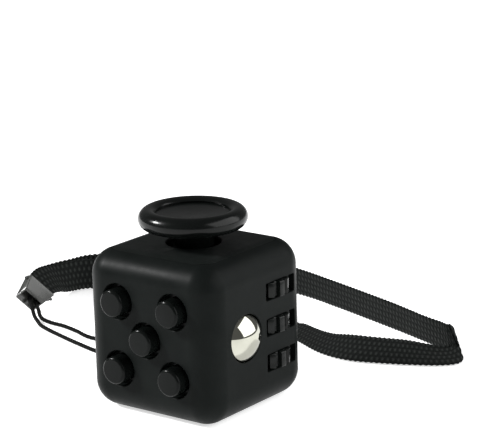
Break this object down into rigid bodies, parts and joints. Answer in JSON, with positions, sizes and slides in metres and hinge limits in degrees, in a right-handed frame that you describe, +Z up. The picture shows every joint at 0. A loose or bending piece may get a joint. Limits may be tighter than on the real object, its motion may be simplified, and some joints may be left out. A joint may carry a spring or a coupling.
{
  "type": "fidget cube",
  "caption": "Pocket fidget cube: push buttons, a spring joystick, a trackball, click rollers, a spinning dial and a rocker on its faces, with a woven wrist lanyard.",
  "frame": {"origin": "centre of the flat face that the cube stands on", "axes": "+Z up through the joystick, -Y out of the face with the buttons, +X out of the face with the ball and rollers"},
  "size_m": [0.1097, 0.0906, 0.0411],
  "materials": {
    "shell_black": "fine matte, moulded",
    "panel_black": "fine matte, moulded",
    "button_black": "satin",
    "stick_black": "satin gloss",
    "roller_black": "satin",
    "inner_grey": "moulded",
    "acetal_white": "smooth moulded",
    "polished_steel": "mirror polished",
    "spring_steel": "drawn wire",
    "screw_steel": "zinc plated",
    "cord_black": "tight braid",
    "strap_black": "plain weave with rows of stitches",
    "clip_black": "satin"
  },
  "bodies": {
    "casing": {"shell": "shell_black", "top_panel": "panel_black", "base_panel": "panel_black", "side_bracket": "inner_grey", "bracket_screws": "screw_steel", "button_spring_1": "spring_steel", "button_spring_2": "spring_steel", "button_spring_3": "spring_steel", "button_spring_4": "spring_steel", "button_spring_5": "spring_steel", "button_guide": "inner_grey", "guide_screws": "screw_steel", "joystick_cup": "inner_grey", "joystick_spring": "spring_steel", "cup_screws": "screw_steel", "ball_spring": "spring_steel", "roller_axle": "spring_steel", "rocker_pin": "spring_steel", "rocker_plunger": "acetal_white", "rocker_spring": "spring_steel", "lanyard_cord": "cord_black", "clip_front": "clip_black", "clip_back": "clip_black", "clip_pin": "clip_black", "wrist_strap": "strap_black"},
    "button_1_body": {"button_1": "button_black"},
    "button_2_body": {"button_2": "button_black"},
    "button_3_body": {"button_3": "button_black"},
    "button_4_body": {"button_4": "button_black"},
    "button_5_body": {"button_5": "button_black"},
    "gimbal": {"gimbal_ring": "acetal_white"},
    "stick": {"joystick_cap": "stick_black", "joystick_stem": "stick_black", "stem_pin": "spring_steel"},
    "ball_carrier": {"ball_plunger": "acetal_white"},
    "ball_body": {"ball": "polished_steel"},
    "roller_1_body": {"roller_1": "roller_black"},
    "roller_2_body": {"roller_2": "roller_black"},
    "roller_3_body": {"roller_3": "roller_black"},
    "dial_body": {"dial": "button_black", "dial_washer": "spring_steel", "dial_screw": "screw_steel"},
    "rocker_body": {"rocker": "button_black"}
  },
  "joints": [
    {"name": "button_1_press", "type": "slide", "parent": "casing", "child": "button_1_body", "axis": [0, 1, 0], "range_m": [0, 0.0015], "stiffness_N_per_m": 600, "springref_m": -0.001, "deforming": ["button_spring_1"]},
    {"name": "button_2_press", "type": "slide", "parent": "casing", "child": "button_2_body", "axis": [0, 1, 0], "range_m": [0, 0.0015], "stiffness_N_per_m": 600, "springref_m": -0.001, "deforming": ["button_spring_2"]},
    {"name": "button_3_press", "type": "slide", "parent": "casing", "child": "button_3_body", "axis": [0, 1, 0], "range_m": [0, 0.0015], "stiffness_N_per_m": 600, "springref_m": -0.001, "deforming": ["button_spring_3"]},
    {"name": "button_4_press", "type": "slide", "parent": "casing", "child": "button_4_body", "axis": [0, 1, 0], "range_m": [0, 0.0015], "stiffness_N_per_m": 600, "springref_m": -0.001, "deforming": ["button_spring_4"]},
    {"name": "button_5_press", "type": "slide", "parent": "casing", "child": "button_5_body", "axis": [0, 1, 0], "range_m": [0, 0.0015], "stiffness_N_per_m": 600, "springref_m": -0.001, "deforming": ["button_spring_5"]},
    {"name": "joystick_tilt_x", "type": "hinge", "parent": "casing", "child": "gimbal", "pos_m": [0, 0, 0.0289], "axis": [1, 0, 0], "range_deg": [-10, 10], "stiffness_Nm_per_rad": 0.06},
    {"name": "joystick_tilt_y", "type": "hinge", "parent": "gimbal", "child": "stick", "pos_m": [0, 0, 0.0289], "axis": [0, 1, 0], "range_deg": [-10, 10], "stiffness_Nm_per_rad": 0.06, "deforming": ["joystick_spring"]},
    {"name": "ball_press", "type": "slide", "parent": "casing", "child": "ball_carrier", "axis": [-1, 0, 0], "range_m": [0, 0.0008], "stiffness_N_per_m": 1500, "springref_m": -0.001, "deforming": ["ball_spring"]},
    {"name": "ball_roll", "type": "hinge", "parent": "ball_carrier", "child": "ball_body", "pos_m": [0.01265, -0.0045, 0.017], "axis": [0, 0, 1], "continuous": true},
    {"name": "roller_1_spin", "type": "hinge", "parent": "casing", "child": "roller_1_body", "pos_m": [0.0122, 0.0072, 0.0248], "axis": [0, 0, 1], "continuous": true},
    {"name": "roller_2_spin", "type": "hinge", "parent": "casing", "child": "roller_2_body", "pos_m": [0.0122, 0.0072, 0.01725], "axis": [0, 0, 1], "continuous": true},
    {"name": "roller_3_spin", "type": "hinge", "parent": "casing", "child": "roller_3_body", "pos_m": [0.0122, 0.0072, 0.0097], "axis": [0, 0, 1], "continuous": true},
    {"name": "dial_spin", "type": "hinge", "parent": "casing", "child": "dial_body", "pos_m": [-0.0165, 0, 0.0169], "axis": [-1, 0, 0], "continuous": true},
    {"name": "rocker_tip", "type": "hinge", "parent": "casing", "child": "rocker_body", "pos_m": [0, 0.0126, 0.0169], "axis": [1, 0, 0], "range_deg": [-16, 0]}
  ]
}
